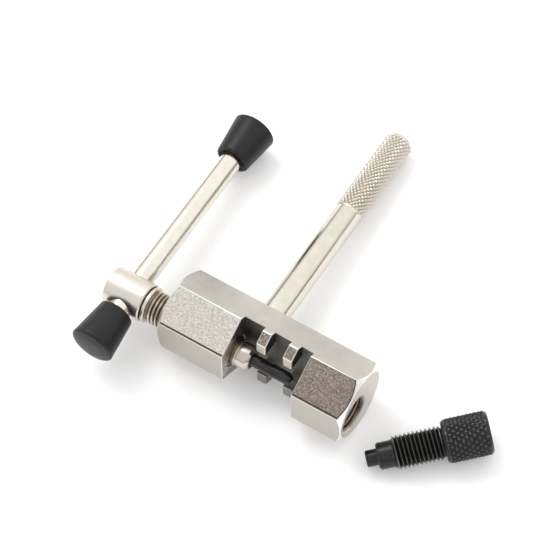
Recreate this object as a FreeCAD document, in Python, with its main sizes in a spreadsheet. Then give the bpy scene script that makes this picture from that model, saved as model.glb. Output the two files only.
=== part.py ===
import FreeCAD, Part
import os, math
import Sketcher
from FreeCAD import Vector, Placement, Rotation

# Bicycle chain tool: a hexagonal bar body with a chain gap, a drive screw that
# pushes a hardened pin across the gap, a sliding tommy bar with two end caps,
# a knurled handle rod, and a loose anvil screw lying beside the tool.
# Lengths in millimetres. The tool frame has X along the drive screw, Y along
# the handle and Z up across the hexagon's points. The whole tool then leans by
# 'lean' degrees about X, because it rests on its lowest hexagon edge and on
# the end of its handle. The row's origin is the bottom centre of the box.

doc = FreeCAD.newDocument("chain_tool")
sheet = doc.addObject("Spreadsheet::Sheet", "dims")
CELLS = [
    # body
    ("hex_radius", 10.9697), ("hex_half", 9.5), ("body_left", 1.05), ("body_len", 54.0),
    ("cham_radial", 1.75), ("cham_axial", 1.3),
    ("gap_left", 20.6), ("gap_right", 40.65), ("gap_wall", 1.5), ("gap_len", 20.05),
    ("screw_y", -3.2), ("bore_left", 4.5), ("bore_right", 4.55), ("sink_depth", 0.55),
    ("tooth_a", 26.7), ("tooth_b", 34.35), ("tooth_width", 2.75), ("tooth_front", -3.2),
    ("tooth_under", 5.2),
    # handle
    ("handle_x", 23.36), ("handle_foot", 4.5), ("spigot_rad", 3.0), ("handle_rad", 3.7),
    ("knurl_rad", 3.92), ("smooth_len", 37.5), ("knurl_len", 27.3), ("edge_break", 0.6),
    # drive screw, stations from the outer end of its head
    ("head_end", -17.0), ("head_rad", 5.2), ("head_break", 0.5), ("head_len", 10.0),
    ("neck_rad", 4.6), ("neck_len", 0.35), ("collar_rad", 5.05), ("collar_len", 2.4),
    ("thread_rad", 4.45), ("thread_end", 38.3), ("nose_rad", 3.4), ("screw_len", 39.2),
    ("thread_taper", 0.8),
    ("chamber_rad", 2.6), ("chamber_start", 30.0),
    # pin retainer
    ("spigot_len", 5.5), ("ferrule_len", 3.6), ("ferrule_face", 2.4), ("ferrule_taper", 1.2),
    ("pin_bore", 1.7),
    # push pin
    ("pin_head_rad", 2.52), ("pin_head_len", 3.2), ("pin_rad", 1.64), ("pin_len", 23.95),
    ("pin_taper", 1.3), ("pin_tip_rad", 1.02),
    # tommy bar and caps
    ("bar_x", -11.0), ("bar_rad", 3.0), ("bar_hole", 3.06), ("bar_tilt", 1.2),
    ("bar_near", -17.0), ("bar_len", 75.0), ("bar_break", 0.4),
    ("cap_small", 4.65), ("cap_big", 5.95), ("cap_len", 12.1), ("cap_cone", 10.9),
    ("cap_crown", 4.9), ("cap_hole", 10.6), ("cap_far", 47.8), ("cap_near", -6.4),
    # anvil screw
    ("nub_rad", 2.12), ("nub_len", 2.9), ("anose_rad", 3.42), ("anose_end", 6.5),
    ("athread_end", 19.7), ("knob_rad", 5.65), ("anvil_len", 31.5), ("knob_break", 0.55),
    ("anvil_x", 62.05), ("anvil_y", -9.3), ("anvil_z", 3.79), ("anvil_yaw", 41.7), ("anvil_tilt", 5.2),
    # lean of the tool and place of the row's origin
    ("lean", 5.46), ("shift_x", -35.941), ("shift_y", -26.265), ("shift_z", 10.921),
]
D = {}
for i, (alias, value) in enumerate(CELLS):
    sheet.set("A%d" % (i + 1), alias)
    sheet.set("B%d" % (i + 1), str(value))
    sheet.setAlias("B%d" % (i + 1), alias)
    D[alias] = float(value)
doc.recompute()


def bind(obj, **props):
    for prop, expr in props.items():
        obj.setExpression(prop, expr)
    return obj


def ref(alias):
    return "dims." + alias


def plane(body, role):
    for f in body.Origin.OriginFeatures:
        if f.Role == role:
            return f


def turned(name, points):
    """A turned piece about its own X axis: a closed half profile of
    (station, radius) pairs, each an expression on the sheet or 0."""
    body = doc.addObject("PartDesign::Body", name)
    body.Label = name
    sk = body.newObject("Sketcher::SketchObject", name + "_profile")
    sk.AttachmentSupport = [(plane(body, "XY_Plane"), "")]
    sk.MapMode = "FlatFace"

    def val(e):
        if e == 0:
            return 0.0
        for k in sorted(D, key=len, reverse=True):
            e = e.replace("dims." + k + " ", "(%r) " % D[k])
        return float(arith(e))
    pts = [Vector(val(a), val(b), 0) for a, b in points]
    n = len(pts)
    for i in range(n):
        sk.addGeometry(Part.LineSegment(pts[i], pts[(i + 1) % n]), False)
    for i in range(n):
        sk.addConstraint(Sketcher.Constraint("Coincident", i, 2, (i + 1) % n, 1))
    for i, (a, b) in enumerate(points):
        if a == 0:
            sk.addConstraint(Sketcher.Constraint("PointOnObject", i, 1, -2))
        else:
            k = sk.addConstraint(Sketcher.Constraint("DistanceX", -1, 1, i, 1, pts[i].x))
            sk.setExpression("Constraints[%d]" % k, a.strip())
        if b == 0:
            sk.addConstraint(Sketcher.Constraint("PointOnObject", i, 1, -1))
        else:
            k = sk.addConstraint(Sketcher.Constraint("DistanceY", -1, 1, i, 1, pts[i].y))
            sk.setExpression("Constraints[%d]" % k, b.strip())
    rev = body.newObject("PartDesign::Revolution", name + "_turn")
    rev.Profile = sk
    rev.ReferenceAxis = (sk, ["H_Axis"])
    rev.Angle = 360.0
    sk.Visibility = False
    body.Tip = rev
    doc.recompute()
    return body


def arith(text):
    """Sums, differences, products and quotients of plain numbers."""
    text = text.replace(" ", "")
    pos = [0]

    def atom():
        if text[pos[0]] == "(":
            pos[0] += 1
            v = total()
            pos[0] += 1
            return v
        s = pos[0]
        if text[pos[0]] in "+-":
            pos[0] += 1
        while pos[0] < len(text) and (text[pos[0]].isdigit() or text[pos[0]] in ".e"):
            pos[0] += 1
        return float(text[s:pos[0]])

    def term():
        v = atom()
        while pos[0] < len(text) and text[pos[0]] in "*/":
            op = text[pos[0]]
            pos[0] += 1
            w = atom()
            v = v * w if op == "*" else v / w
        return v

    def total():
        v = term()
        while pos[0] < len(text) and text[pos[0]] in "+-":
            op = text[pos[0]]
            pos[0] += 1
            w = term()
            v = v + w if op == "+" else v - w
        return v
    return total()


def cyl(name, radius, height, base, direction):
    c = doc.addObject("Part::Cylinder", name)
    bind(c, Radius=radius, Height=height)
    c.Placement = Placement(base, Rotation(Vector(0, 0, 1), direction))
    return c


def box(name, length, width, height, base):
    b = doc.addObject("Part::Box", name)
    bind(b, Length=length, Width=width, Height=height)
    b.Placement = Placement(base, Rotation())
    return b


def cut(name, base, tools):
    cur = base
    for i, t in enumerate(tools):
        c = doc.addObject("Part::Cut", name if i == len(tools) - 1 else "%s_cut%d" % (name, i))
        c.Base = cur
        c.Tool = t
        cur = c
    return cur


X, Y, Z = Vector(1, 0, 0), Vector(0, 1, 0), Vector(0, 0, 1)
TOOL = Placement(Vector(D["shift_x"], D["shift_y"], D["shift_z"]), Rotation(X, -D["lean"]))
ALONG_Y = Rotation(Z, 90)          # a turned piece's X axis onto +Y

# ---- tool body: hexagonal bar, turned end chamfers, chain gap with teeth ----
prism = doc.addObject("Part::Prism", "hex_bar")
prism.Polygon = 6
bind(prism, Circumradius=ref("hex_radius"), Height=ref("body_len"))
# points up and down along Z, bar along X
prism.Placement = Placement(Vector(D["body_left"], 0, 0), Rotation(Vector(0, 0, 1), X))
# the end chamfers are turned with a very slight crown: a spherical band through the same two rims as a flat cone's
crown_depth = ("((dims.cham_axial ^ 2 + dims.hex_radius ^ 2 - (dims.hex_radius - dims.cham_radial) ^ 2)"
               " / (2 * dims.cham_axial))")
crown_rad = "sqrt(%s ^ 2 + (dims.hex_radius - dims.cham_radial) ^ 2)" % crown_depth
r0 = D["hex_radius"] - D["cham_radial"]
depth = (D["cham_axial"] ** 2 + D["hex_radius"] ** 2 - r0 ** 2) / (2 * D["cham_axial"])
dome_l = doc.addObject("Part::Sphere", "chamfer_left")
bind(dome_l, Radius=crown_rad)
dome_l.Placement = Placement(Vector(D["body_left"] + depth, 0, 0), Rotation(Vector(0, 0, 1), X))
dome_r = doc.addObject("Part::Sphere", "chamfer_right")
bind(dome_r, Radius=crown_rad)
dome_r.Placement = Placement(Vector(D["body_left"] + D["body_len"] - depth, 0, 0), Rotation(Vector(0, 0, 1), X))
stem = cyl("turned_stem", "dims.hex_radius + 1", "dims.body_len - 2 * %s" % crown_depth,
           Vector(D["body_left"] + depth, 0, 0), X)
turned_bar = doc.addObject("Part::MultiFuse", "turned_envelope")
turned_bar.Shapes = [dome_l, stem, dome_r]
com2 = doc.addObject("Part::Common", "bar_turned")
com2.Base, com2.Tool = prism, turned_bar

R, YS = D["hex_radius"], D["screw_y"]
# the gap's parts: one full-width slot in front of the teeth, and notches between them
slot_front = box("gap_slot", "dims.gap_len", "dims.hex_radius + dims.tooth_front", "dims.hex_radius * 2 + 2",
                 Vector(D["gap_left"], -R, -R - 1))
notch_l = box("gap_notch_left", "dims.tooth_a - dims.gap_left", "dims.gap_wall + dims.hex_radius", "dims.hex_radius * 2 + 2",
              Vector(D["gap_left"], -R, -R - 1))
notch_m = box("gap_notch_mid", "dims.tooth_b - dims.tooth_a - dims.tooth_width", "dims.gap_wall + dims.hex_radius",
              "dims.hex_radius * 2 + 2", Vector(D["tooth_a"] + D["tooth_width"], -R, -R - 1))
notch_r = box("gap_notch_right", "dims.gap_right - dims.tooth_b - dims.tooth_width", "dims.gap_wall + dims.hex_radius",
              "dims.hex_radius * 2 + 2", Vector(D["tooth_b"] + D["tooth_width"], -R, -R - 1))
# the roller recess splits each tooth into an upper and a lower one
recess = box("roller_recess", "dims.gap_len", "dims.gap_wall + dims.hex_radius", "dims.tooth_under * 2",
             Vector(D["gap_left"], -R, -D["tooth_under"]))
bore_l = cyl("drive_bore", ref("bore_left"), "dims.gap_left - dims.body_left + 2",
             Vector(D["body_left"] - 1, YS, 0), X)
bore_r = cyl("anvil_bore", ref("bore_right"), "dims.body_left + dims.body_len - dims.gap_right + 2",
             Vector(D["gap_right"] - 1, YS, 0), X)
sink = doc.addObject("Part::Cone", "bore_countersink_left")
bind(sink, Radius1="dims.bore_left + dims.sink_depth", Radius2="dims.bore_left", Height=ref("sink_depth"))
sink.Placement = Placement(Vector(D["body_left"], YS, 0), Rotation(Vector(0, 0, 1), X))
socket = cyl("handle_socket", ref("spigot_rad"), "dims.handle_foot + 1",
             Vector(D["handle_x"], D["hex_half"] - D["handle_foot"], 0), Y)
# small breaks on the teeth: sloping reliefs at their front corners
relief = []
for k, (tx, side) in enumerate((("tooth_a", 1), ("tooth_b", 1), ("tooth_a", -1), ("tooth_b", -1))):
    w = doc.addObject("Part::Wedge", "tooth_relief_%d" % k)
    w.Xmin, w.Xmax = 0, D["tooth_width"] + 0.2
    w.X2min, w.X2max = 0, D["tooth_width"] + 0.2
    w.Ymin, w.Ymax = 0, 0.7
    w.Zmin, w.Zmax = 0, 0.7
    w.Z2min, w.Z2max = 0, 0
    relief.append((w, tx, side))
for w, tx, side in relief:
    zc = R - abs(D["tooth_front"]) * math.tan(math.radians(30))
    if side > 0:
        w.Placement = Placement(Vector(D[tx] - 0.1, D["tooth_front"] - 0.01, zc + 0.25), Rotation(X, -90))
    else:
        w.Placement = Placement(Vector(D[tx] + D["tooth_width"] + 0.1, D["tooth_front"] - 0.01, -zc - 0.25),
                                Rotation(Y, 180) * Rotation(X, -90))
tool_body = cut("tool_body", com2, [slot_front, notch_l, notch_m, notch_r, recess, bore_l, bore_r, sink, socket]
                + [w for w, tx, side in relief])
tool_body.Label = "tool_body"
doc.recompute()
tool_body.Placement = TOOL

# ---- handle rod: spigot in the body's socket, smooth rod, knurled end ----
handle_rod = turned("handle_rod", [
    (0, 0), (0, "dims.spigot_rad "), ("dims.handle_foot ", "dims.spigot_rad "), ("dims.handle_foot ", "dims.handle_rad "),
    ("dims.handle_foot + dims.smooth_len ", "dims.handle_rad "),
    ("dims.handle_foot + dims.smooth_len ", "dims.knurl_rad "),
    ("dims.handle_foot + dims.smooth_len + dims.knurl_len - dims.edge_break ", "dims.knurl_rad "),
    ("dims.handle_foot + dims.smooth_len + dims.knurl_len ", "dims.knurl_rad - dims.edge_break "),
    ("dims.handle_foot + dims.smooth_len + dims.knurl_len ", 0)])
handle_rod.Placement = TOOL * Placement(Vector(D["handle_x"], D["hex_half"] - D["handle_foot"], 0), ALONG_Y)

# ---- drive screw: drilled head, neck, collar, threaded shank, hollow nose ----
drive_screw = turned("drive_screw", [
    (0, 0), (0, "dims.head_rad - dims.head_break "), ("dims.head_break ", "dims.head_rad "),
    ("dims.head_len ", "dims.head_rad "), ("dims.head_len ", "dims.neck_rad "),
    ("dims.head_len + dims.neck_len ", "dims.neck_rad "), ("dims.head_len + dims.neck_len ", "dims.collar_rad "),
    ("dims.head_len + dims.neck_len + dims.collar_len ", "dims.collar_rad "),
    ("dims.head_len + dims.neck_len + dims.collar_len ", "dims.thread_rad "),
    ("dims.thread_end - dims.thread_taper ", "dims.thread_rad "), ("dims.thread_end ", "dims.nose_rad "),
    ("dims.screw_len ", "dims.nose_rad "), ("dims.screw_len ", "dims.chamber_rad "),
    ("dims.chamber_start ", "dims.chamber_rad "), ("dims.chamber_start ", 0)])
# cross hole for the tommy bar, cut along the body's own Z axis
hole = drive_screw.newObject("Sketcher::SketchObject", "cross_hole")
hole.AttachmentSupport = [(plane(drive_screw, "XY_Plane"), "")]
hole.MapMode = "FlatFace"
hx = D["bar_x"] - D["head_end"]
hole.addGeometry(Part.Circle(Vector(hx, 0, 0), Z, D["bar_hole"]), False)
hole.addConstraint(Sketcher.Constraint("PointOnObject", 0, 3, -1))
k = hole.addConstraint(Sketcher.Constraint("DistanceX", -1, 1, 0, 3, hx))
hole.setExpression("Constraints[%d]" % k, "dims.bar_x - dims.head_end")
k = hole.addConstraint(Sketcher.Constraint("Radius", 0, D["bar_hole"]))
hole.setExpression("Constraints[%d]" % k, "dims.bar_hole")
before = drive_screw.Shape.Volume
pocket = drive_screw.newObject("PartDesign::Pocket", "cross_hole_cut")
pocket.Profile = hole
pocket.Type = "ThroughAll"
pocket.Midplane = True
drive_screw.Tip = pocket
doc.recompute()
removed = before - drive_screw.Shape.Volume
print("cross hole removed %.1f mm3 of about %.1f" % (removed, math.pi * D["bar_hole"] ** 2 * D["head_rad"] * 1.8))
if removed < 200:
    raise SystemExit("the cross hole cut nothing")
SCREW = TOOL * Placement(Vector(0, YS, 0), Rotation())
# turned about its own axis until the cross hole lies along the tommy bar
drive_screw.Placement = SCREW * Placement(Vector(D["head_end"], 0, 0), Rotation(X, D["bar_tilt"] - 90))

# ---- pin retainer: ferrule pressed in the screw's nose ----
pin_retainer = turned("pin_retainer", [
    (0, "dims.pin_bore "), (0, "dims.chamber_rad "), ("dims.spigot_len ", "dims.chamber_rad "),
    ("dims.spigot_len ", "dims.nose_rad "),
    ("dims.spigot_len + dims.ferrule_len - dims.ferrule_taper ", "dims.nose_rad "),
    ("dims.spigot_len + dims.ferrule_len ", "dims.ferrule_face "),
    ("dims.spigot_len + dims.ferrule_len ", "dims.pin_bore ")])
pin_retainer.Placement = SCREW * Placement(Vector(D["head_end"] + D["screw_len"] - D["spigot_len"], 0, 0), Rotation())

# ---- push pin: headed hardened pin, free to turn in the retainer ----
push_pin = turned("push_pin", [
    (0, 0), (0, "dims.pin_head_rad "), ("dims.pin_head_len ", "dims.pin_head_rad "),
    ("dims.pin_head_len ", "dims.pin_rad "), ("dims.pin_len - dims.pin_taper ", "dims.pin_rad "),
    ("dims.pin_len ", "dims.pin_tip_rad "), ("dims.pin_len ", 0)])
push_pin.Placement = SCREW * Placement(Vector(D["head_end"] + D["chamber_start"] + 0.15, 0, 0), Rotation())

# ---- tommy bar and its two tapered end caps ----
BAR = SCREW * Placement(Vector(D["bar_x"], 0, 0), Rotation(X, D["bar_tilt"]) * ALONG_Y)
tommy_bar = turned("tommy_bar", [
    (0, 0), (0, "dims.bar_rad - dims.bar_break "), ("dims.bar_break ", "dims.bar_rad "),
    ("dims.bar_len - dims.bar_break ", "dims.bar_rad "), ("dims.bar_len ", "dims.bar_rad - dims.bar_break "),
    ("dims.bar_len ", 0)])
tommy_bar.Placement = BAR * Placement(Vector(D["bar_near"], 0, 0), Rotation())


def cap(name):
    return turned(name, [
        (0, "dims.bar_rad "), (0, "dims.cap_small - 0.25 "), (" 0.25 ", "dims.cap_small "),
        ("dims.cap_cone ", "dims.cap_big "), ("dims.cap_cone + 0.55 ", "dims.cap_big - 0.35 "),
        ("dims.cap_len - 0.25 ", "dims.cap_crown "), ("dims.cap_len ", 0),
        ("dims.cap_hole ", 0), ("dims.cap_hole ", "dims.bar_rad ")])


cap_far = cap("tommy_cap_far")
cap_far.Placement = BAR * Placement(Vector(D["cap_far"], 0, 0), Rotation())
cap_near = cap("tommy_cap_near")
cap_near.Placement = BAR * Placement(Vector(D["cap_near"], 0, 0), Rotation(Z, 180))

# ---- anvil screw: pilot nub, nose, threaded shank, knurled knob ----
anvil = turned("anvil_screw", [
    (0, 0), (0, "dims.nub_rad - 0.2 "), (" 0.2 ", "dims.nub_rad "), ("dims.nub_len ", "dims.nub_rad "),
    ("dims.nub_len ", "dims.anose_rad - 0.35 "), ("dims.nub_len + 0.35 ", "dims.anose_rad "),
    ("dims.anose_end ", "dims.anose_rad "), ("dims.anose_end + 0.7 ", "dims.thread_rad "),
    ("dims.athread_end ", "dims.thread_rad "), ("dims.athread_end ", "dims.knob_rad - dims.knob_break "),
    ("dims.athread_end + dims.knob_break ", "dims.knob_rad "),
    ("dims.anvil_len - dims.knob_break ", "dims.knob_rad "),
    ("dims.anvil_len ", "dims.knob_rad - dims.knob_break "), ("dims.anvil_len ", 0)])
floor_z = -R * math.cos(math.radians(D["lean"]))
anvil.Placement = Placement(
    Vector(D["anvil_x"] + D["shift_x"], D["anvil_y"] + D["shift_y"], D["anvil_z"] + floor_z + D["shift_z"]),
    Rotation(Z, D["anvil_yaw"]) * Rotation(Y, -D["anvil_tilt"]))

doc.recompute()

NODES = [tool_body, handle_rod, drive_screw, pin_retainer, push_pin, tommy_bar, cap_near, cap_far, anvil]
for o in doc.Objects:
    if "Invalid" in o.State or "Error" in o.State:
        raise SystemExit("failed: %s %s" % (o.Name, o.State))
bb = FreeCAD.BoundBox()
for o in NODES:
    s = o.Shape
    if s.isNull() or not s.isValid():
        raise SystemExit("bad shape: " + o.Label)
    b = s.optimalBoundingBox(False, False)
    bb.add(b)
    print("%-16s solids %d volume %9.2f  x %.2f..%.2f y %.2f..%.2f z %.2f..%.2f" % (
        o.Label, len(s.Solids), s.Volume, b.XMin, b.XMax, b.YMin, b.YMax, b.ZMin, b.ZMax))
print("box x %.3f..%.3f y %.3f..%.3f z %.3f..%.3f" % (bb.XMin, bb.XMax, bb.YMin, bb.YMax, bb.ZMin, bb.ZMax))
print("shift for the bottom centre: %.3f %.3f %.3f" % (
    D["shift_x"] - bb.Center.x, D["shift_y"] - bb.Center.y, D["shift_z"] - bb.ZMin))
os.makedirs("parts", exist_ok=True)
for o in NODES:
    o.Shape.exportStep("parts/%s.step" % o.Label)
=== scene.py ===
import math

import bmesh
import bpy
import numpy as np
from mathutils import Matrix, Vector


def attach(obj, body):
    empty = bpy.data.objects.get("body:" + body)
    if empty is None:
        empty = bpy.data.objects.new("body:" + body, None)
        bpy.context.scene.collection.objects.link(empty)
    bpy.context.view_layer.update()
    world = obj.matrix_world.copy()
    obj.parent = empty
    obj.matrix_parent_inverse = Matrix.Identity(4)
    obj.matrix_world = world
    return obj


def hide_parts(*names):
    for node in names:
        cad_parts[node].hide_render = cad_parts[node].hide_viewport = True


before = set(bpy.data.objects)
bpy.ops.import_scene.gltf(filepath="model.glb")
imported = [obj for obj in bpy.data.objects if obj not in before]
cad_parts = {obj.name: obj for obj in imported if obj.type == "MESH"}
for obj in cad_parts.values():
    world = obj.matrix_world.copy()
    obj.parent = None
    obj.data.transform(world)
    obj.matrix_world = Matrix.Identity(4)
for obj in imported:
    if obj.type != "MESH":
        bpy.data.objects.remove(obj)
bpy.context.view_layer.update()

# ---------------------------------------------------------------- the CAD model's own numbers, in millimetres
LEAN = math.radians(5.46)
SHIFT = (-35.941, -26.265, 10.921)
HEX_R, HEX_H = 10.9697, 9.5
BODY_L, BODY_LEN = 1.05, 54.0
BODY_E = BODY_L + BODY_LEN
GAP_L, GAP_R, GAP_WALL = 20.6, 40.65, 1.5
SCREW_Y = -3.2
TOOTH_A, TOOTH_B, TOOTH_W, TOOTH_FRONT, TOOTH_UNDER = 26.7, 34.35, 2.75, -3.2, 5.2
PITCH = 1.0583
TILT = math.radians(1.2)

MM = Matrix.Scale(0.001, 4)
TOOL = Matrix.Translation(SHIFT) @ Matrix.Rotation(-LEAN, 4, "X")
ALONG_Y = Matrix.Rotation(math.radians(90), 4, "Z")
SCREW = TOOL @ Matrix.Translation((0, SCREW_Y, 0))
HANDLE = TOOL @ Matrix.Translation((23.36, 5.0, 0)) @ ALONG_Y
BAR = SCREW @ Matrix.Translation((-11.0, 0, 0)) @ Matrix.Rotation(TILT, 4, "X") @ ALONG_Y
ANVIL = (
    Matrix.Translation((62.05 + SHIFT[0], -9.3 + SHIFT[1], 3.79 - HEX_R * math.cos(LEAN) + SHIFT[2]))
    @ Matrix.Rotation(math.radians(41.7), 4, "Z")
    @ Matrix.Rotation(math.radians(-5.2), 4, "Y")
)


# ---------------------------------------------------------------- mesh helpers
def to_object(name, verts, faces, matrix, sharp=38, weld=1e-4, groove=None):
    """verts in millimetres in matrix's frame; the object's mesh ends in the row frame, in metres"""
    me = bpy.data.meshes.new(name)
    me.from_pydata([tuple(v) for v in verts], [], [tuple(f) for f in faces])
    if groove is not None:
        a = me.attributes.new("groove", "FLOAT", "POINT")
        a.data.foreach_set("value", np.asarray(groove, np.float32))
    bm = bmesh.new()
    bm.from_mesh(me)
    if weld:
        bmesh.ops.remove_doubles(bm, verts=bm.verts, dist=weld)
        bmesh.ops.dissolve_degenerate(bm, edges=bm.edges, dist=weld)
    loose = [v for v in bm.verts if not v.link_faces]
    bmesh.ops.delete(bm, geom=loose, context="VERTS")
    bmesh.ops.recalc_face_normals(bm, faces=bm.faces)
    bm.to_mesh(me)
    bm.free()
    me.transform(MM @ matrix)
    me.validate()
    o = bpy.data.objects.new(name, me)
    bpy.context.scene.collection.objects.link(o)
    smooth(o, sharp)
    return o


def smooth(o, sharp):
    o.data.shade_smooth()
    o.data.set_sharp_from_angle(angle=math.radians(sharp))
    o.data.update()


def rounded(points):
    """points are (x, r) or (x, r, fillet radius); corners with a radius become arcs"""
    out = []
    n = len(points)
    for i, p in enumerate(points):
        rad = p[2] if len(p) > 2 else 0
        if rad <= 0 or i == 0 or i == n - 1:
            out.append((p[0], p[1]))
            continue
        c = np.array(p[:2], float)
        a = np.array(points[i - 1][:2], float) - c
        b = np.array(points[i + 1][:2], float) - c
        la, lb = np.linalg.norm(a), np.linalg.norm(b)
        a, b = a / la, b / lb
        ang = math.acos(max(-1, min(1, float(a @ b))))
        turn = math.pi - ang
        if turn < 1e-3:
            out.append((p[0], p[1]))
            continue
        t = min(rad / math.tan(ang / 2), la * 0.49, lb * 0.49)
        r = t * math.tan(ang / 2)
        mid = (a + b) / np.linalg.norm(a + b)
        centre = c + mid * r / math.sin(ang / 2)
        s, e = c + a * t - centre, c + b * t - centre
        steps = max(3, int(math.degrees(turn) / 15))
        for k in range(steps + 1):
            w = k / steps
            d = s * math.sin((1 - w) * turn) + e * math.sin(w * turn)
            d = d / math.sin(turn)
            out.append(tuple(centre + d))
    return out


def lathe_parts(points, n, v0=0, phase=0.0):
    pts = rounded(points)
    th = np.arange(n) * 2 * math.pi / n + phase
    verts, faces, rings = [], [], []
    for x, r in pts:
        if r < 1e-6:
            rings.append([v0 + len(verts)])
            verts.append((x, 0.0, 0.0))
        else:
            rings.append([v0 + len(verts) + j for j in range(n)])
            verts += [(x, r * math.cos(t), r * math.sin(t)) for t in th]
    for a, b in zip(rings[:-1], rings[1:]):
        for j in range(n):
            k = (j + 1) % n
            if len(a) == 1 and len(b) == 1:
                continue
            if len(a) == 1:
                faces.append((a[0], b[j], b[k]))
            elif len(b) == 1:
                faces.append((a[j], b[0], a[k]))
            else:
                faces.append((a[j], b[j], b[k], a[k]))
    return verts, faces


def lathe(name, points, n, matrix, sharp=38):
    v, f = lathe_parts(points, n)
    return to_object(name, v, f, matrix, sharp)


def thread_parts(xa, xb, crest, root, n, m=10, flat=0.16, ease_a=1.0, ease_b=1.0, v0=0, end_a=None, end_b=None):
    """right-hand helical thread whose grid follows the helix; the ends fade to end_a and end_b"""
    end_a = root if end_a is None else end_a
    end_b = root if end_b is None else end_b
    prof = []
    for k in range(m):
        u = k / m
        d = abs(u - 0.5) * 2                       # 0 at the crest, 1 at the root
        h = 1 - max(0.0, min(1.0, (d - flat) / (1 - 1.7 * flat)))
        prof.append(h)
    rows = int(math.ceil((xb - xa) / (PITCH / m))) + 2 * m + 2
    verts, groove = [], []
    for k in range(rows):
        for j in range(n):
            t = 2 * math.pi * j / n
            x = xa - PITCH - PITCH / m + PITCH * k / m + PITCH * t / (2 * math.pi)
            xc = min(max(x, xa), xb)
            h = prof[k % m]
            r = root + (crest - root) * h
            wa = min(1.0, (xc - xa) / ease_a) if ease_a else 1.0
            wb = min(1.0, (xb - xc) / ease_b) if ease_b else 1.0
            r = end_a + (r - end_a) * wa if wa < 1 else r
            r = end_b + (r - end_b) * wb if wb < 1 else r
            verts.append((xc, r * math.cos(t), r * math.sin(t)))
            groove.append(1 - h)
    faces = []
    for k in range(rows - 1):
        for j in range(n):
            a = k * n + j
            if j < n - 1:
                q = (a, a + n, a + n + 1, a + 1)
            else:
                k2 = k + m
                if k2 + 1 >= rows:
                    continue
                q = (a, a + n, (k2 + 1) * n, k2 * n)
            xs = [verts[i][0] for i in q]
            if max(xs) - min(xs) < 1e-9:
                continue
            faces.append(tuple(v0 + i for i in q))
    return verts, faces, groove


def knurl_parts(xa, xb, r0, h, starts, length, sub=6, ease=0.6, v0=0, top=0.72, r_end=None):
    """raised diamonds: starts round the circle, each length long along the axis; valleys at both helix families"""
    n = starts * sub
    rows = max(2, int(round((xb - xa) / (length / sub))))
    dx = (xb - xa) / rows
    verts, groove = [], []
    r_end = r0 if r_end is None else r_end
    for k in range(rows + 1):
        x = xa + dx * k
        e = min(1.0, (x - xa) / ease, (xb - x) / ease)
        e = max(0.0, e)
        for j in range(n):
            t = 2 * math.pi * j / n
            a = k * dx / length + j / sub
            b = k * dx / length - j / sub
            da, db = abs(a - round(a)) * 2, abs(b - round(b)) * 2
            hh = min(1.0, min(da, db) / top)
            r = r0 + (h * hh) * e + (r_end - r0) * (1 - e)
            verts.append((x, r * math.cos(t), r * math.sin(t)))
            groove.append((1 - hh) * e)
    faces = []
    for k in range(rows):
        for j in range(n):
            j2 = (j + 1) % n
            q = [k * n + j, (k + 1) * n + j, (k + 1) * n + j2, k * n + j2]
            # split each cell along its valley, so the diamonds stay crisp
            a = (k + 0.5) * dx / length + (j + 0.5) / sub
            b = (k + 0.5) * dx / length - (j + 0.5) / sub
            fa, fb = abs(a - round(a)), abs(b - round(b))
            q = [v0 + i for i in q]
            if fa < fb:
                faces += [(q[0], q[1], q[3]), (q[1], q[2], q[3])]
            else:
                faces += [(q[0], q[1], q[2]), (q[0], q[2], q[3])]
    return verts, faces, groove, n


def box_cutter(lo, hi):
    me = bpy.data.meshes.new("cutter")
    bm = bmesh.new()
    bmesh.ops.create_cube(bm, size=1.0)
    for v in bm.verts:
        v.co = Vector([lo[i] + (v.co[i] + 0.5) * (hi[i] - lo[i]) for i in range(3)])
    bm.to_mesh(me)
    bm.free()
    o = bpy.data.objects.new("cutter", me)
    bpy.context.scene.collection.objects.link(o)
    return o


def mm_object(name, verts, faces):
    me = bpy.data.meshes.new(name)
    me.from_pydata([tuple(v) for v in verts], [], [tuple(f) for f in faces])
    bm = bmesh.new()
    bm.from_mesh(me)
    bmesh.ops.remove_doubles(bm, verts=bm.verts, dist=1e-4)
    bmesh.ops.dissolve_degenerate(bm, edges=bm.edges, dist=1e-4)
    bmesh.ops.recalc_face_normals(bm, faces=bm.faces)
    bm.to_mesh(me)
    bm.free()
    o = bpy.data.objects.new(name, me)
    bpy.context.scene.collection.objects.link(o)
    return o


def boolean(o, cutter, op="DIFFERENCE"):
    m = o.modifiers.new("cut", "BOOLEAN")
    m.operation, m.solver, m.object = op, "EXACT", cutter
    bake(o)
    me = cutter.data
    bpy.data.objects.remove(cutter)
    bpy.data.meshes.remove(me)


def bake(o):
    """applies every modifier without needing the object to be active"""
    dg = bpy.context.evaluated_depsgraph_get()
    dg.update()
    new = bpy.data.meshes.new_from_object(o.evaluated_get(dg))
    o.modifiers.clear()
    old = o.data
    o.data = new
    new.name = o.name
    bpy.data.meshes.remove(old)


def clean(o, angle=0.4, dist=2e-4):
    bm = bmesh.new()
    bm.from_mesh(o.data)
    bmesh.ops.remove_doubles(bm, verts=bm.verts, dist=dist)
    bmesh.ops.dissolve_limit(bm, angle_limit=math.radians(angle), verts=bm.verts, edges=bm.edges)
    bm.to_mesh(o.data)
    bm.free()


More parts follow.
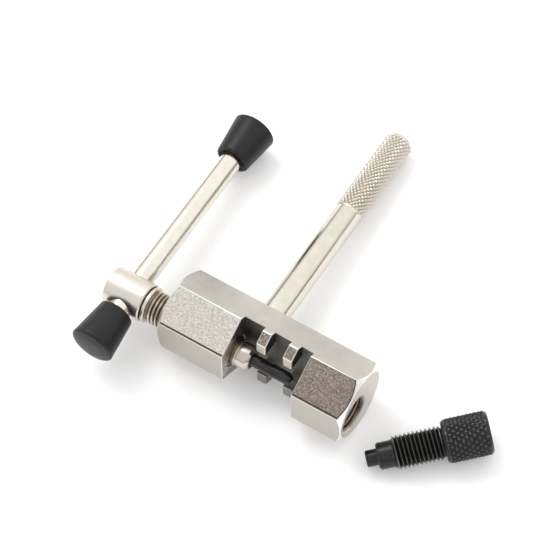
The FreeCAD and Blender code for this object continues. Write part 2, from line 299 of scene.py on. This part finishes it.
# ---------------------------------------------------------------- tool body
def make_body():
    # hexagonal bar, corners up and down, a little long so that the turned envelope makes its ends
    verts, faces = [], []
    for x in (BODY_L - 1.0, BODY_E + 1.0):
        for k in range(6):
            a = math.radians(90 + 60 * k)
            verts.append((x, HEX_R * math.cos(a), HEX_R * math.sin(a)))
    faces.append(tuple(range(6)))
    faces.append(tuple(range(11, 5, -1)))
    for k in range(6):
        faces.append((k, (k + 1) % 6, 6 + (k + 1) % 6, 6 + k))
    body = mm_object("tool_body_shell", verts, faces)
    R = 13.0
    boolean(body, box_cutter((GAP_L, -R, -R), (GAP_R, TOOTH_FRONT, R)))
    boolean(body, box_cutter((GAP_L, -R - 0.1, -R - 0.1), (TOOTH_A, GAP_WALL, R + 0.1)))
    boolean(body, box_cutter((TOOTH_A + TOOTH_W, -R - 0.1, -R - 0.1), (TOOTH_B, GAP_WALL, R + 0.1)))
    boolean(body, box_cutter((TOOTH_B + TOOTH_W, -R - 0.1, -R - 0.1), (GAP_R, GAP_WALL, R + 0.1)))
    boolean(body, box_cutter((TOOTH_A - 1, -R - 0.2, -TOOTH_UNDER), (TOOTH_B + TOOTH_W + 1, GAP_WALL, TOOTH_UNDER)))
    clean(body)
    # ends turned to a chamfer: intersect with a turned envelope
    ra, ca = HEX_R - 1.75, 1.3
    env = lathe_parts([
        (BODY_L, 0), (BODY_L, ra, 0.2), (BODY_L + ca * 1.9, ra + 1.75 * 1.9), (BODY_E - ca * 1.9, ra + 1.75 * 1.9),
        (BODY_E, ra, 0.2), (BODY_E, 0)], 180, phase=0.0071)
    boolean(body, mm_object("envelope", *env), "INTERSECT")
    # left bore: plain where the screw runs, with a countersink at each face
    pts = [(BODY_L - 1, 0), (BODY_L - 1, 6.05), (BODY_L + 0.55, 4.5), (GAP_L - 0.15, 4.5), (GAP_L + 0.05, 4.68), (GAP_L + 0.05, 0)]
    v, f = lathe_parts(pts, 96)
    boolean(body, mm_object("bore_l", [(p[0], p[1] + SCREW_Y, p[2]) for p in v], f))
    # right bore: an internal thread, cut outward from the hole's wall
    n = 96
    tv, tf, tg = thread_parts(GAP_R + 0.35, BODY_E - 0.75, 4.98, 4.55, n, m=8, flat=0.1, ease_a=0.7, ease_b=0.7)
    v1, f1 = lathe_parts([(GAP_R - 0.05, 0), (GAP_R - 0.05, 4.69), (GAP_R + 0.35, 4.55)], n)
    v2, f2 = lathe_parts([(BODY_E - 0.75, 4.55), (BODY_E + 1, 6.3), (BODY_E + 1, 0)], n)
    k1, k2 = len(v1), len(v1) + len(v2)
    vv = [(p[0], p[1] + SCREW_Y, p[2]) for p in list(v1) + list(v2) + list(tv)]
    ff = list(f1) + [tuple(i + k1 for i in q) for q in f2] + [tuple(i + k2 for i in q) for q in tf]
    boolean(body, mm_object("bore_r", vv, ff))
    clean(body, 0.05, 5e-4)
    # edge breaks, by how each edge was made
    me = body.data
    bm = bmesh.new()
    bm.from_mesh(me)
    layer = bm.edges.layers.float.get("bevel_weight_edge") or bm.edges.layers.float.new("bevel_weight_edge")
    for e in bm.edges:
        e[layer] = 0.0
        if len(e.link_faces) != 2 or e.calc_face_angle(0) < math.radians(25) or e.calc_face_angle_signed(0) < 0:
            continue
        a, b = e.verts[0].co, e.verts[1].co
        mid = (a + b) / 2
        along_x = abs(a.y - b.y) < 1e-3 and abs(a.z - b.z) < 1e-3
        if not along_x and (mid.x < BODY_L + 1.6 or mid.x > BODY_E - 1.6):
            continue
        if math.hypot(mid.y - SCREW_Y, mid.z) < 5.0 and mid.y < GAP_WALL - 1e-3 or (a - b).length < 0.25:
            continue
        tooth = any(t - 0.01 <= mid.x <= t + TOOTH_W + 0.01 for t in (TOOTH_A, TOOTH_B)) and mid.y < GAP_WALL - 0.01
        if tooth:
            w = 0.36
        elif along_x and abs(mid.y ** 2 + mid.z ** 2 - HEX_R ** 2) < 0.05:
            w = 0.28
        else:
            w = 0.22
        e[layer] = w
    bm.to_mesh(me)
    bm.free()
    m = body.modifiers.new("edge_breaks", "BEVEL")
    m.limit_method, m.width, m.segments, m.profile = "WEIGHT", 1.0, 3, 0.5
    m.use_clamp_overlap, m.miter_outer = False, "MITER_SHARP"
    bake(body)
    bm = bmesh.new()
    bm.from_mesh(body.data)
    bmesh.ops.remove_doubles(bm, verts=bm.verts, dist=1e-3)
    bmesh.ops.dissolve_degenerate(bm, edges=bm.edges, dist=1e-4)
    bmesh.ops.recalc_face_normals(bm, faces=bm.faces)
    bm.to_mesh(body.data)
    bm.free()
    body.data.transform(MM @ TOOL)
    body.data.validate()
    smooth(body, 32)
    m = body.modifiers.new("flat_faces", "WEIGHTED_NORMAL")
    m.mode, m.weight, m.keep_sharp = "FACE_AREA", 100, True
    return body


# ---------------------------------------------------------------- materials
def material(name):
    m = bpy.data.materials.new(name)
    m.use_nodes = True
    nt = m.node_tree
    bsdf = nt.nodes["Principled BSDF"]
    return m, nt, bsdf


def node(nt, kind, **inputs):
    n = nt.nodes.new(kind)
    for k, v in inputs.items():
        n.inputs[k].default_value = v
    return n


def noise(nt, coord, scale, detail=3.0, rough=0.55, stretch=None):
    src = coord
    if stretch:
        mp = nt.nodes.new("ShaderNodeMapping")
        mp.inputs["Scale"].default_value = stretch
        nt.links.new(coord, mp.inputs["Vector"])
        src = mp.outputs["Vector"]
    n = nt.nodes.new("ShaderNodeTexNoise")
    n.inputs["Scale"].default_value = scale
    n.inputs["Detail"].default_value = detail
    n.inputs["Roughness"].default_value = rough
    nt.links.new(src, n.inputs["Vector"])
    return n.outputs["Fac"]


def ramp(nt, fac, stops):
    r = nt.nodes.new("ShaderNodeValToRGB")
    els = r.color_ramp.elements
    while len(els) < len(stops):
        els.new(0.5)
    for el, (p, c) in zip(els, stops):
        el.position = p
        el.color = (c, c, c, 1) if isinstance(c, (int, float)) else (*c, 1)
    nt.links.new(fac, r.inputs["Fac"])
    return r.outputs["Color"]


def math_node(nt, op, a, b=None, c=None, clamp=False):
    n = nt.nodes.new("ShaderNodeMath")
    n.operation, n.use_clamp = op, clamp
    for i, v in enumerate((a, b, c)):
        if v is None:
            continue
        if isinstance(v, (int, float)):
            n.inputs[i].default_value = v
        else:
            nt.links.new(v, n.inputs[i])
    return n.outputs[0]


def mix(nt, fac, a, b, blend="MIX"):
    n = nt.nodes.new("ShaderNodeMix")
    n.data_type, n.blend_type = "RGBA", blend
    for sock, v in ((n.inputs[0], fac), (n.inputs[6], a), (n.inputs[7], b)):
        if isinstance(v, (int, float)):
            sock.default_value = v
        elif isinstance(v, tuple):
            sock.default_value = (*v, 1)
        else:
            nt.links.new(v, sock)
    return n.outputs[2]


def bump(nt, bsdf, height, strength, dist):
    b = nt.nodes.new("ShaderNodeBump")
    b.inputs["Strength"].default_value = strength
    b.inputs["Distance"].default_value = dist
    nt.links.new(height, b.inputs["Height"])
    nt.links.new(b.outputs["Normal"], bsdf.inputs["Normal"])


def local_axis(nt, coord, matrix):
    """coordinates in millimetres in one of the tool's own frames, from the object's coordinates"""
    inv = (MM @ matrix).inverted()
    rows = []
    for i in range(3):
        d = nt.nodes.new("ShaderNodeVectorMath")
        d.operation = "DOT_PRODUCT"
        nt.links.new(coord, d.inputs[0])
        d.inputs[1].default_value = tuple(inv[i][:3])
        rows.append(math_node(nt, "ADD", d.outputs["Value"], float(inv[i][3])))
    return rows


def step(nt, value, lo, hi):
    """0 below lo, 1 above hi"""
    m = nt.nodes.new("ShaderNodeMapRange")
    m.inputs["From Min"].default_value, m.inputs["From Max"].default_value = lo, hi
    m.interpolation_type = "SMOOTHSTEP"
    nt.links.new(value, m.inputs["Value"])
    return m.outputs["Result"]


def nickel_body():
    m, nt, b = material("nickel_body_satin")
    tc = nt.nodes.new("ShaderNodeTexCoord").outputs["Object"]
    x, y, z = local_axis(nt, tc, TOOL)
    geo = nt.nodes.new("ShaderNodeNewGeometry")
    dn = nt.nodes.new("ShaderNodeVectorMath")
    dn.operation = "DOT_PRODUCT"
    nt.links.new(geo.outputs["Normal"], dn.inputs[0])
    f2 = (TOOL.to_3x3() @ Vector((0, -0.5, 0.8660))).normalized()
    dn.inputs[1].default_value = tuple(f2)
    on_f2 = step(nt, dn.outputs["Value"], 0.965, 0.99)
    right = step(nt, x, 24.6, 25.6)
    grain = noise(nt, tc, 3400, 2.0, 0.6)
    blotch = noise(nt, tc, 260, 3.0, 0.5)
    speck = noise(nt, tc, 2100, 2.0, 0.7)
    base = ramp(nt, blotch, [(0.3, (0.525, 0.497, 0.452)), (0.7, (0.615, 0.585, 0.535))])
    bright = ramp(nt, speck, [(0.36, (0.56, 0.515, 0.445)), (0.52, (0.685, 0.645, 0.565)), (0.68, (0.86, 0.83, 0.76))])
    taupe = ramp(nt, speck, [(0.36, (0.20, 0.160, 0.132)), (0.52, (0.295, 0.245, 0.205)), (0.68, (0.47, 0.41, 0.35))])
    facet = mix(nt, right, bright, taupe)
    col = mix(nt, on_f2, base, facet)
    # the machined walls inside the chain gap carry painted shade: painted dark, with faint upright streaks
    in_x = math_node(nt, "MULTIPLY", step(nt, x, GAP_L - 0.12, GAP_L + 0.05), step(nt, x, GAP_R + 0.12, GAP_R - 0.05))
    in_y = step(nt, y, GAP_WALL + 0.12, GAP_WALL - 0.05)
    flat2 = math_node(nt, "SUBTRACT", math_node(nt, "MULTIPLY", math_node(nt, "ABSOLUTE", z), 0.8660),
                      math_node(nt, "MULTIPLY", math_node(nt, "ABSOLUTE", y), -0.5))
    under = step(nt, flat2, HEX_H - 0.05, HEX_H - 0.45)
    front = step(nt, y, TOOTH_FRONT + 0.12, TOOTH_FRONT + 0.4)
    inside = math_node(nt, "MULTIPLY", math_node(nt, "MULTIPLY", in_x, in_y), under)
    inside = math_node(nt, "MULTIPLY", inside, front)
    streak = noise(nt, tc, 900, 2.0, 0.6, stretch=(1.0, 1.0, 0.05))
    wall = ramp(nt, streak, [(0.3, (0.050, 0.047, 0.044)), (0.7, (0.115, 0.108, 0.102))])
    # painted shade laid over the walls inside the gap
    col = mix(nt, inside, col, wall)
    # painted shade: the front flat is a little darker; painted highlight: every broken edge is painted bright
    col = mix(nt, math_node(nt, "MULTIPLY", step(nt, y, -9.2, -9.45), 0.85), col, (0.470, 0.448, 0.402))
    faces = []
    for n3 in ((1, 0, 0), (0, 1, 0), (0, 0.5, 0.8660), (0, -0.5, 0.8660)):
        d3 = nt.nodes.new("ShaderNodeVectorMath")
        d3.operation = "DOT_PRODUCT"
        nt.links.new(geo.outputs["Normal"], d3.inputs[0])
        d3.inputs[1].default_value = tuple((TOOL.to_3x3() @ Vector(n3)).normalized())
        faces.append(math_node(nt, "ABSOLUTE", d3.outputs["Value"]))
    flat = faces[0]
    for f3 in faces[1:]:
        flat = math_node(nt, "MAXIMUM", flat, f3)
    dy0 = math_node(nt, "SUBTRACT", y, SCREW_Y)
    r0 = math_node(nt, "SQRT", math_node(nt, "ADD", math_node(nt, "MULTIPLY", dy0, dy0), math_node(nt, "MULTIPLY", z, z)))
    # painted highlight on every broken edge, away from the bores
    edge_highlight = math_node(nt, "MULTIPLY", step(nt, flat, 0.985, 0.955), step(nt, r0, 5.2, 5.5))
    col = mix(nt, edge_highlight, col, (0.86, 0.835, 0.775))
    # painted shade on the lower teeth under the pin
    lower = math_node(nt, "MULTIPLY", math_node(nt, "MULTIPLY", in_x, in_y), step(nt, z, -3.4, -4.4))
    col = mix(nt, math_node(nt, "MULTIPLY", lower, 0.85), col, (0.27, 0.252, 0.232))
    # turned chamfers are brighter than the flats; a thin dark line of painted shade lies where they meet the front
    # flat, and a painted dark reflection runs along that flat's lower corner
    rad = math_node(nt, "SQRT", math_node(nt, "ADD", math_node(nt, "MULTIPLY", y, y), math_node(nt, "MULTIPLY", z, z)))
    from_end = math_node(nt, "SUBTRACT", BODY_E, x)
    cone = math_node(nt, "MULTIPLY_ADD", from_end, 1.75 / 1.3, HEX_R - 1.75)
    inner = math_node(nt, "SUBTRACT", cone, rad)
    cham = math_node(nt, "MULTIPLY", step(nt, inner, 0.12, 0.02), step(nt, from_end, 0.02, 0.08))
    col = mix(nt, cham, col, (0.93, 0.915, 0.885))
    arc = math_node(nt, "MULTIPLY", step(nt, inner, 0.05, 0.16), step(nt, inner, 0.62, 0.40))
    front_corner = math_node(nt, "MULTIPLY", step(nt, y, -8.78, -8.98), step(nt, y, -9.36, -9.22))
    painted_dark_line = math_node(nt, "MULTIPLY", math_node(nt, "MAXIMUM", arc, front_corner), on_f2)
    col = mix(nt, painted_dark_line, col, (0.085, 0.070, 0.058))
    # inside the anvil's threaded hole: painted shade on the hole's wall
    dy = math_node(nt, "SUBTRACT", y, SCREW_Y)
    rs = math_node(nt, "SQRT", math_node(nt, "ADD", math_node(nt, "MULTIPLY", dy, dy), math_node(nt, "MULTIPLY", z, z)))
    bore = math_node(nt, "MULTIPLY", step(nt, rs, 5.05, 4.95), step(nt, x, GAP_R + 0.1, GAP_R + 0.4))
    bore = math_node(nt, "MULTIPLY", bore, step(nt, x, BODY_E - 0.1, BODY_E - 0.5))
    col = mix(nt, bore, col, (0.24, 0.19, 0.145))
    nt.links.new(col, b.inputs["Base Color"])
    b.inputs["Metallic"].default_value = 1.0
    rough = ramp(nt, blotch, [(0.3, 0.30), (0.7, 0.40)])
    rough = mix(nt, on_f2, rough, ramp(nt, speck, [(0.3, 0.26), (0.7, 0.44)]))
    rough = mix(nt, inside, rough, (0.5, 0.5, 0.5))
    nt.links.new(rough, b.inputs["Roughness"])
    h = math_node(nt, "ADD", math_node(nt, "MULTIPLY", grain, 0.6), math_node(nt, "MULTIPLY", speck, 0.7))
    bump(nt, b, h, 0.55, 0.00006)
    return m


def nickel_rod(name, matrix, groove=False, warm=(0.80, 0.765, 0.690), rough=(0.13, 0.21), bumpy=0.12, roots=None):
    m, nt, b = material(name)
    tc = nt.nodes.new("ShaderNodeTexCoord").outputs["Object"]
    x, y, z = local_axis(nt, tc, matrix)
    cmb = nt.nodes.new("ShaderNodeCombineXYZ")
    nt.links.new(math_node(nt, "MULTIPLY", x, 0.06), cmb.inputs[0])
    nt.links.new(y, cmb.inputs[1])
    nt.links.new(z, cmb.inputs[2])
    lines = noise(nt, cmb.outputs[0], 3.0, 3.0, 0.6)
    blotch = noise(nt, tc, 330, 3.0, 0.55)
    w = warm
    col = ramp(nt, blotch, [(0.3, (w[0] * 0.93, w[1] * 0.92, w[2] * 0.90)), (0.7, w)])
    rg = math_node(nt, "MULTIPLY_ADD", lines, rough[1] - rough[0], rough[0])
    if groove:
        # painted shade: the knurl's grooves are painted darker
        at = nt.nodes.new("ShaderNodeAttribute")
        at.attribute_name = "groove"
        g = step(nt, at.outputs["Fac"], 0.30, 0.95)
        col = mix(nt, g, col, (0.55, 0.50, 0.43))
        rg = math_node(nt, "MULTIPLY_ADD", g, 0.22, rg)
    if roots:
        # painted shade: the thread's roots are painted dark brown
        crest, root, lo_x, hi_x = roots
        rr = math_node(nt, "SQRT", math_node(nt, "ADD", math_node(nt, "MULTIPLY", y, y), math_node(nt, "MULTIPLY", z, z)))
        g = math_node(nt, "MULTIPLY", step(nt, rr, crest, root), math_node(nt, "MULTIPLY", step(nt, x, lo_x, lo_x + 0.2), step(nt, x, hi_x, hi_x - 0.2)))
        col = mix(nt, g, col, (0.20, 0.150, 0.105))
        # painted shade: a dark line in the groove between the head and the collar
        painted_dark_line = math_node(nt, "MULTIPLY", step(nt, x, lo_x - 1.5, lo_x - 1.4), step(nt, x, lo_x - 0.95, lo_x - 1.05))
        col = mix(nt, math_node(nt, "MULTIPLY", painted_dark_line, step(nt, rr, 4.95, 4.75)), col, (0.11, 0.075, 0.05))
    nt.links.new(col, b.inputs["Base Color"])
    nt.links.new(rg, b.inputs["Roughness"])
    b.inputs["Metallic"].default_value = 1.0
    fine = noise(nt, tc, 2600, 2.0, 0.5)
    h = math_node(nt, "ADD", math_node(nt, "MULTIPLY", lines, 0.5), math_node(nt, "MULTIPLY", fine, 0.25))
    bump(nt, b, h, bumpy, 0.00004)
    return m


def black_steel(name, rough=(0.30, 0.42), base=0.045, groove=False, thread=None):
    m, nt, b = material(name)
    tc = nt.nodes.new("ShaderNodeTexCoord").outputs["Object"]
    blotch = noise(nt, tc, 420, 3.0, 0.6)
    grain = noise(nt, tc, 3200, 2.0, 0.6)
    col = ramp(nt, blotch, [(0.3, (base * 0.8, base * 0.8, base * 0.84)), (0.7, (base * 1.2, base * 1.17, base * 1.2))])
    if groove:
        at = nt.nodes.new("ShaderNodeAttribute")
        at.attribute_name = "groove"
        g = at.outputs["Fac"]
        ax = local_axis(nt, tc, thread[0])[0]
        on = math_node(nt, "MULTIPLY", step(nt, ax, thread[1] - 0.1, thread[1] + 0.1), step(nt, ax, thread[2] + 0.1, thread[2] - 0.1))
        knob = math_node(nt, "MULTIPLY", step(nt, g, 0.30, 0.06), 0.75)
        crest = math_node(nt, "MULTIPLY", step(nt, g, 0.34, 0.12), math_node(nt, "MULTIPLY_ADD", step(nt, grain, 0.30, 0.60), 0.4, 0.6))
        col = mix(nt, math_node(nt, "MULTIPLY", knob, math_node(nt, "SUBTRACT", 1.0, on)), col, (0.17, 0.155, 0.135))
        col = mix(nt, math_node(nt, "MULTIPLY", crest, on), col, (0.42, 0.40, 0.365))
    nt.links.new(col, b.inputs["Base Color"])
    nt.links.new(math_node(nt, "MULTIPLY_ADD", grain, rough[1] - rough[0], rough[0]), b.inputs["Roughness"])
    b.inputs["Metallic"].default_value = 0.85
    b.inputs["Specular IOR Level"].default_value = 0.5
    bump(nt, b, grain, 0.22, 0.00004)
    return m


def black_plastic():
    m, nt, b = material("black_plastic_satin")
    tc = nt.nodes.new("ShaderNodeTexCoord").outputs["Object"]
    mottle = noise(nt, tc, 520, 4.0, 0.6)
    grain = noise(nt, tc, 4200, 2.0, 0.5)
    col = ramp(nt, mottle, [(0.3, (0.0085, 0.0087, 0.0092)), (0.7, (0.0150, 0.0152, 0.0160))])
    nt.links.new(col, b.inputs["Base Color"])
    nt.links.new(math_node(nt, "MULTIPLY_ADD", mottle, 0.16, 0.33), b.inputs["Roughness"])
    b.inputs["IOR"].default_value = 1.42
    b.inputs["Specular IOR Level"].default_value = 0.42
    h = math_node(nt, "ADD", math_node(nt, "MULTIPLY", grain, 0.5), mottle)
    bump(nt, b, h, 0.10, 0.00008)
    return m


def dress(o, mat, slot, body, *nodes):
    o.data.materials.clear()
    o.data.materials.append(mat)
    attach(o, body)
    if nodes:
        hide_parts(*nodes)
    return o


# ---------------------------------------------------------------- pieces
body = make_body()
dress(body, nickel_body(), "nickel_body", "body", "tool_body")

# handle rod: smooth, then a raised diamond knurl and a domed end
v1, f1 = lathe_parts([(0.4, 0), (0.4, 2.98), (4.3, 2.98), (4.3, 3.7), (41.2, 3.7), (41.75, 3.52), (42.0, 3.52)], 120)
kv, kf, kg, kn = knurl_parts(42.0, 68.1, 3.52, 0.39, 20, 1.42, sub=6, ease=0.5)
v2, f2 = lathe_parts([(68.1, 3.52), (68.35, 3.50, 0.25), (69.05, 2.85, 0.5), (69.3, 1.6), (69.3, 0)], 120)
nv = len(v1)
verts = list(v1) + list(kv) + list(v2)
faces = list(f1) + [tuple(i + nv for i in q) for q in kf] + [tuple(i + nv + len(kv) for i in q) for q in f2]
gro = [0.0] * nv + list(kg) + [0.0] * len(v2)
handle = to_object("handle_rod_knurled", verts, faces, HANDLE, 50, groove=gro)
dress(handle, nickel_rod("nickel_handle", HANDLE, groove=True, warm=(0.73, 0.695, 0.615)), "nickel_rod", "body", "handle_rod")

# drive screw: head with a cross hole, neck, collar, rolled thread, grooved nose
H0 = -17.0
N = 96
pre = [(H0, 0), (H0, 2.2), (H0 + 0.12, 4.3, 0.5), (H0 + 0.62, 5.2, 0.45), (H0 + 11.05, 5.2, 0.22), (H0 + 11.35, 4.9, 0.1),
       (H0 + 11.35, 4.5), (H0 + 11.75, 4.5), (H0 + 11.75, 4.78, 0.08), (H0 + 11.9, 4.92, 0.12), (H0 + 12.5, 4.92, 0.15),
       (H0 + 12.7, 4.7, 0.1), (H0 + 12.8, 3.86), (H0 + 13.0, 3.86)]
post = [(20.9, 3.86), (21.0, 3.40), (21.35, 3.36), (21.5, 3.70, 0.05), (21.75, 3.70, 0.05), (21.9, 3.3), (22.15, 3.3),
        (22.2, 3.32), (22.2, 2.62), (13.4, 2.62), (13.4, 0)]
v1, f1 = lathe_parts(pre, N)
tv, tf, tg = thread_parts(H0 + 13.0, 20.9, 4.45, 3.86, N, m=10, flat=0.12, ease_a=0.5, ease_b=0.55)
v2, f2 = lathe_parts(post, N)
o1, o2 = len(v1), len(v1) + len(tv)
sv = list(v1) + list(tv) + list(v2)
sf = list(f1) + [tuple(i + o1 for i in q) for q in tf] + [tuple(i + o2 for i in q) for q in f2]
screw = mm_object("drive_screw_threaded", sv, sf)
hole = mm_object("hole", *lathe_parts([(-7, 0), (-7, 4.3), (-5.75, 4.0), (-4.75, 3.06), (4.75, 3.06), (5.75, 4.0), (7, 4.3), (7, 0)], 96))
hole.data.transform(Matrix.Translation((-11.0, 0, 0)) @ Matrix.Rotation(TILT, 4, "X") @ ALONG_Y)
boolean(screw, hole)
screw.data.transform(MM @ SCREW)
screw.data.validate()
smooth(screw, 40)
dress(screw, nickel_rod("nickel_screw", SCREW, warm=(0.77, 0.725, 0.645), rough=(0.27, 0.36), bumpy=0.10, roots=(4.36, 4.05, H0 + 12.75, 21.9)), "nickel_rod", "screw", "drive_screw")

ferrule = lathe("pin_retainer_ferrule", [
    (16.75, 1.7), (16.75, 2.6), (22.22, 2.6), (22.22, 3.4, 0.1), (25.05, 3.4, 0.2), (25.66, 2.85, 0.12), (25.8, 2.5, 0.05),
    (25.8, 1.82), (25.6, 1.74), (16.75, 1.7)], 96, SCREW, 35)
dress(ferrule, nickel_rod("nickel_ferrule", SCREW, warm=(0.62, 0.565, 0.51), rough=(0.17, 0.22), bumpy=0.0), "nickel_rod", "screw", "pin_retainer")

P0 = H0 + 30.15
pin = lathe("push_pin_turned", [
    (P0, 0), (P0, 2.4), (P0 + 0.12, 2.52), (P0 + 3.1, 2.52), (P0 + 3.2, 2.42), (P0 + 3.2, 1.64), (P0 + 22.65, 1.64, 0.5),
    (P0 + 23.82, 1.06, 0.2), (P0 + 23.95, 0.85), (P0 + 23.95, 0)], 72, SCREW, 50)
dress(pin, black_steel("black_pin", (0.13, 0.19), 0.046), "black_steel", "pin_carriage", "push_pin")

# tommy bar and its two caps
bar = lathe("tommy_bar_polished", [
    (-17.0, 0), (-17.0, 2.6), (-16.85, 2.75, 0.1), (-16.6, 3.0, 0.2), (57.6, 3.0, 0.2), (57.85, 2.75, 0.1), (58.0, 2.6), (58.0, 0)],
    120, BAR)
dress(bar, nickel_rod("nickel_bar", BAR), "nickel_rod", "tommy", "tommy_bar")


def cap(name, matrix, node_name):
    o = lathe(name, [
        (10.28, 0), (10.28, 3.03), (3.2, 3.03), (1.0, 3.04, 0.3), (0.55, 3.65, 0.2), (0.02, 3.95, 0.12), (0.0, 4.25, 0.12), (0.30, 4.70, 0.28),
        (10.55, 5.90, 0.2), (10.72, 5.87, 0.05), (10.86, 5.95, 0.08), (11.12, 5.93, 0.25), (11.55, 5.3, 0.9), (11.98, 3.2, 3.0),
        (12.08, 1.2), (12.1, 0)], 128, matrix, 55)
    return dress(o, PLASTIC, "black_plastic", "tommy", node_name)


PLASTIC = black_plastic()
CAP_FAR = BAR @ Matrix.Translation((47.8, 0, 0))
CAP_NEAR = BAR @ Matrix.Translation((-6.4, 0, 0)) @ Matrix.Rotation(math.pi, 4, "Z")
cap("tommy_cap_far_moulded", CAP_FAR, "tommy_cap_far")
cap("tommy_cap_near_moulded", CAP_NEAR, "tommy_cap_near")

# anvil screw: nub, nose, sharp thread, knurled knob
N = 132
pre = [(0, 0), (0, 1.85, 0.05), (0.22, 2.12, 0.1), (2.9, 2.12), (2.9, 2.95, 0.1), (3.3, 3.42, 0.15), (6.4, 3.42), (6.7, 3.5), (6.9, 3.5)]
mid = [(19.5, 3.62), (19.7, 3.62), (19.7, 4.95), (19.78, 5.1, 0.06), (20.35, 5.42), (20.5, 5.42)]
end = [(30.75, 5.42), (30.95, 5.42, 0.2), (31.42, 4.85, 0.25), (31.5, 4.3), (31.5, 0)]
v1, f1 = lathe_parts(pre, N)
tv, tf, tg = thread_parts(6.9, 19.5, 4.45, 3.58, N, m=10, flat=0.03, ease_a=0.45, ease_b=0.6, end_a=3.5, end_b=3.62)
v2, f2 = lathe_parts(mid, N)
kv, kf, kg, kn = knurl_parts(20.5, 30.75, 5.26, 0.39, 22, 2.0, sub=6, ease=0.35, r_end=5.42, top=0.85)
v3, f3 = lathe_parts(end, N)
verts, faces, gro = [], [], []
for vv, ff, gg in ((v1, f1, None), (tv, tf, tg), (v2, f2, None), (kv, kf, kg), (v3, f3, None)):
    base_i = len(verts)
    verts += list(vv)
    faces += [tuple(i + base_i for i in q) for q in ff]
    gro += [0.5] * len(vv) if gg is None else list(gg)
anvil = to_object("anvil_screw_threaded", verts, faces, ANVIL, 50, groove=gro)
dress(anvil, black_steel("black_anvil", (0.26, 0.40), 0.034, groove=True, thread=(ANVIL, 6.9, 19.6)), "black_steel", "anvil", "anvil_screw")

# ---------------------------------------------------------------- stage: floor, light, camera
me = bpy.data.meshes.new("floor")
me.from_pydata([(-3, -3, 0), (3, -3, 0), (3, 3, 0), (-3, 3, 0)], [], [(0, 1, 2, 3)])
floor = bpy.data.objects.new("floor", me)
bpy.context.scene.collection.objects.link(floor)
floor.location.z = -0.00003
fm, fnt, fb = material("floor_pale")
fb.inputs["Base Color"].default_value = (0.97, 0.97, 0.97, 1)
fb.inputs["Roughness"].default_value = 0.7
fb.inputs["Specular IOR Level"].default_value = 0.2
fb.inputs["Emission Color"].default_value = (1, 1, 1, 1)
fb.inputs["Emission Strength"].default_value = 0.11
floor.data.materials.append(fm)


def area(name, at, to, size, power, size_y=None, color=(1, 1, 1)):
    d = bpy.data.lights.new(name, "AREA")
    d.shape = "RECTANGLE"
    d.size, d.size_y = size, size_y or size
    d.energy, d.color = power, color
    o = bpy.data.objects.new(name, d)
    o.location = at
    o.rotation_mode = "QUATERNION"
    o.rotation_quaternion = (Vector(to) - Vector(at)).to_track_quat("-Z", "Y")
    o.visible_camera = False
    bpy.context.scene.collection.objects.link(o)
    return o


area("key", (-0.75, 0.25, 1.15), (0, 0, 0), 0.6, 5.5)

# a pale tent all round, a little brighter behind and above, with a thin dark band low at the sides and front
w = bpy.data.worlds.new("studio")
bpy.context.scene.world = w
w.use_nodes = True
nt = w.node_tree
bg = nt.nodes["Background"]
tcw = nt.nodes.new("ShaderNodeTexCoord")
sep = nt.nodes.new("ShaderNodeSeparateXYZ")
nt.links.new(tcw.outputs["Generated"], sep.inputs[0])
wx, wy, wz = sep.outputs
back_up = math_node(nt, "MULTIPLY", step(nt, wy, -0.1, 0.4), step(nt, wz, 0.2, 0.45))
side = step(nt, math_node(nt, "ABSOLUTE", wx), 0.55, 0.85)
ahead = math_node(nt, "MULTIPLY", step(nt, wy, -0.5, -0.85), 0.65)
low = step(nt, wz, 0.24, 0.07)
dark = math_node(nt, "MULTIPLY", low, math_node(nt, "MAXIMUM", side, ahead))
col = mix(nt, back_up, (0.92, 0.92, 0.93), (1.20, 1.19, 1.17))
col = mix(nt, dark, col, (0.13, 0.115, 0.10))
nt.links.new(col, bg.inputs["Color"])
bg.inputs["Strength"].default_value = 1.0

cam_data = bpy.data.cameras.new("camera")
cam = bpy.data.objects.new("camera", cam_data)
bpy.context.scene.collection.objects.link(cam)
cam_data.sensor_width, cam_data.lens = 36.0, 2400 * 36.0 / 551.0
cam_data.clip_start, cam_data.clip_end = 0.05, 20.0
right = Vector((0.8483269397939365, 0.5265975515360974, -0.05510373794981317))
upv = Vector((-0.4468746728048619, 0.7679182209707, 0.45891680368749016))
back = Vector((0.2839796295958604, -0.3646870228255757, 0.886768822950613))
cam.matrix_world = Matrix((
    (right.x, upv.x, back.x, 0.155393),
    (right.y, upv.y, back.y, -0.228941),
    (right.z, upv.z, back.z, 0.552254),
    (0, 0, 0, 1)))
bpy.context.scene.camera = cam
bpy.context.scene.view_settings.view_transform = "Standard"

bpy.context.view_layer.update()
